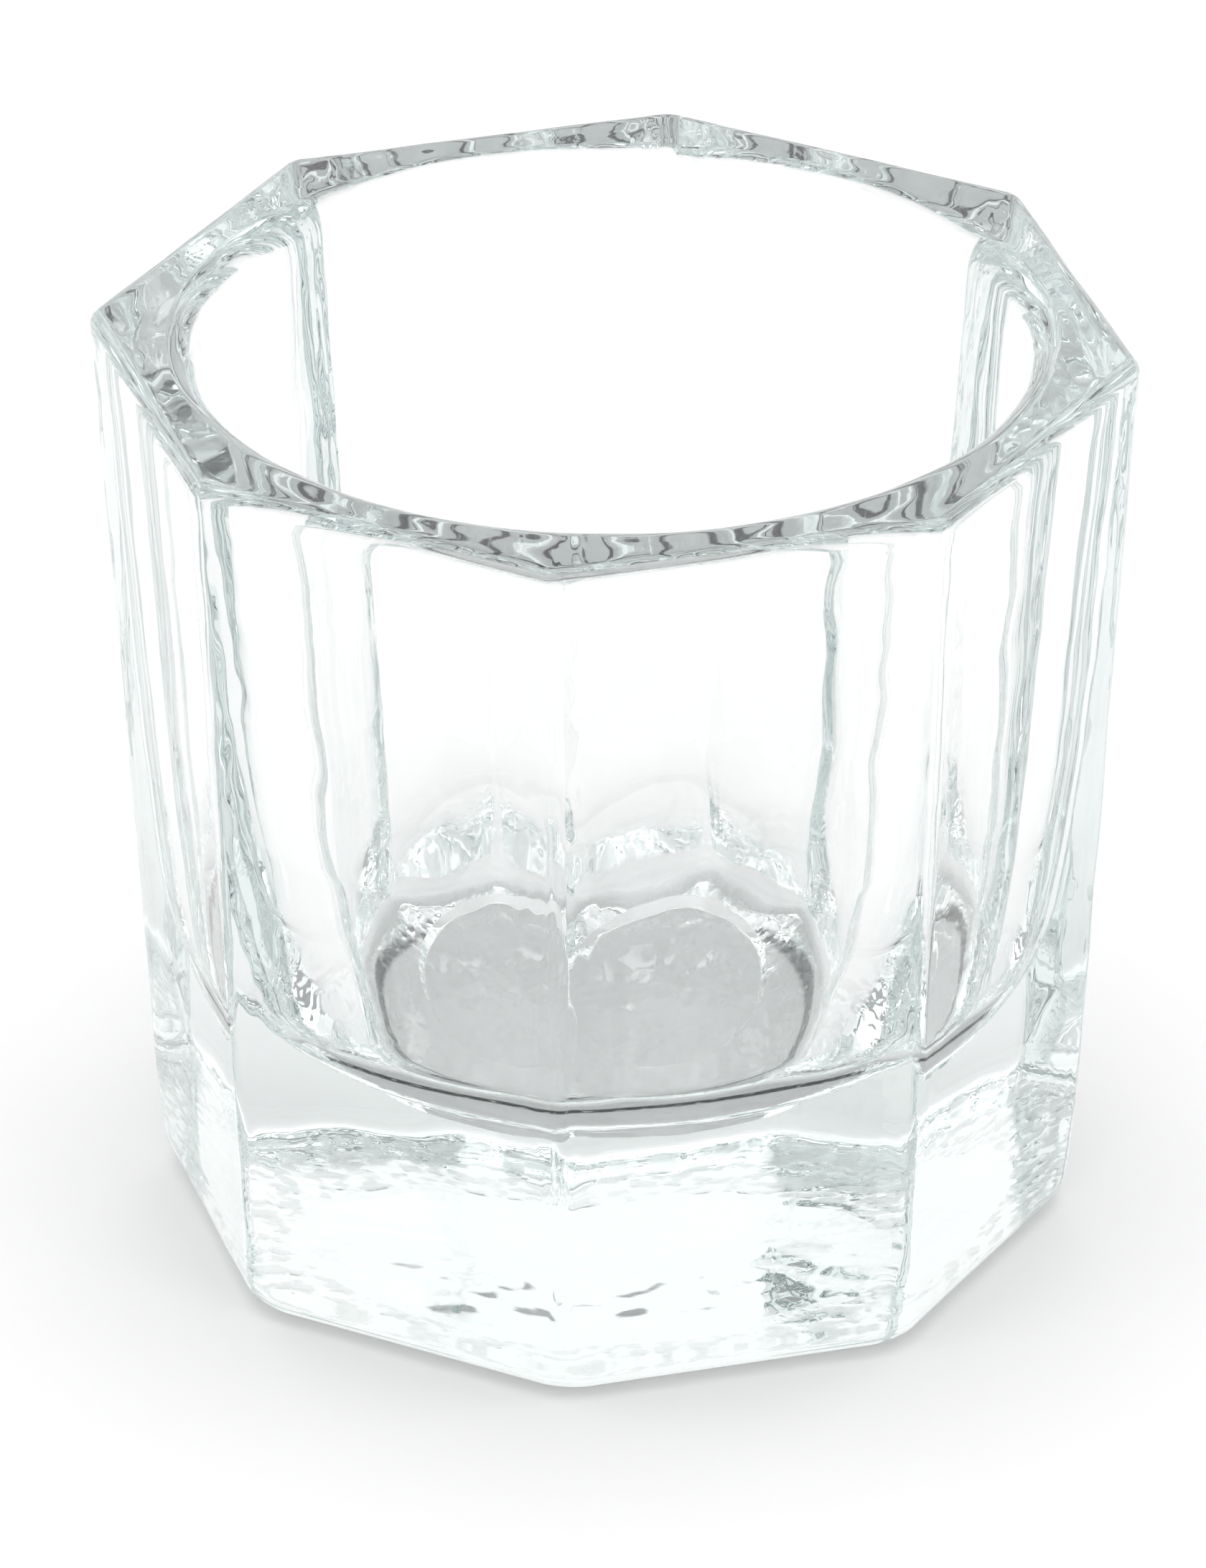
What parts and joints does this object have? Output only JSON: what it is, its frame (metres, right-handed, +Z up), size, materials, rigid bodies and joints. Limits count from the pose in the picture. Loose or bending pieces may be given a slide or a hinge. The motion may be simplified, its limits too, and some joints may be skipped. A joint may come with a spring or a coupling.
{
  "type": "dappen dish",
  "caption": "Small octagonal pressed-glass dappen dish that widens towards the rim, with a round well over a heavy clear base, for holding a little liquid or powder.",
  "frame": {"origin": "middle of the foot, in the plane that the dish stands on", "axes": "+Z up along the axis of the round well; flat sides face +X, -X, +Y and -Y, so an upright edge stands 22.5 degrees to each side of each of these"},
  "size_m": [0.0284, 0.0284, 0.028],
  "materials": {
    "clear_glass": "fire-polished pressed soda-lime glass, clear with a faint grey-green edge"
  },
  "bodies": {
    "root": {"glass_dish": "clear_glass"}
  },
  "joints": []
}
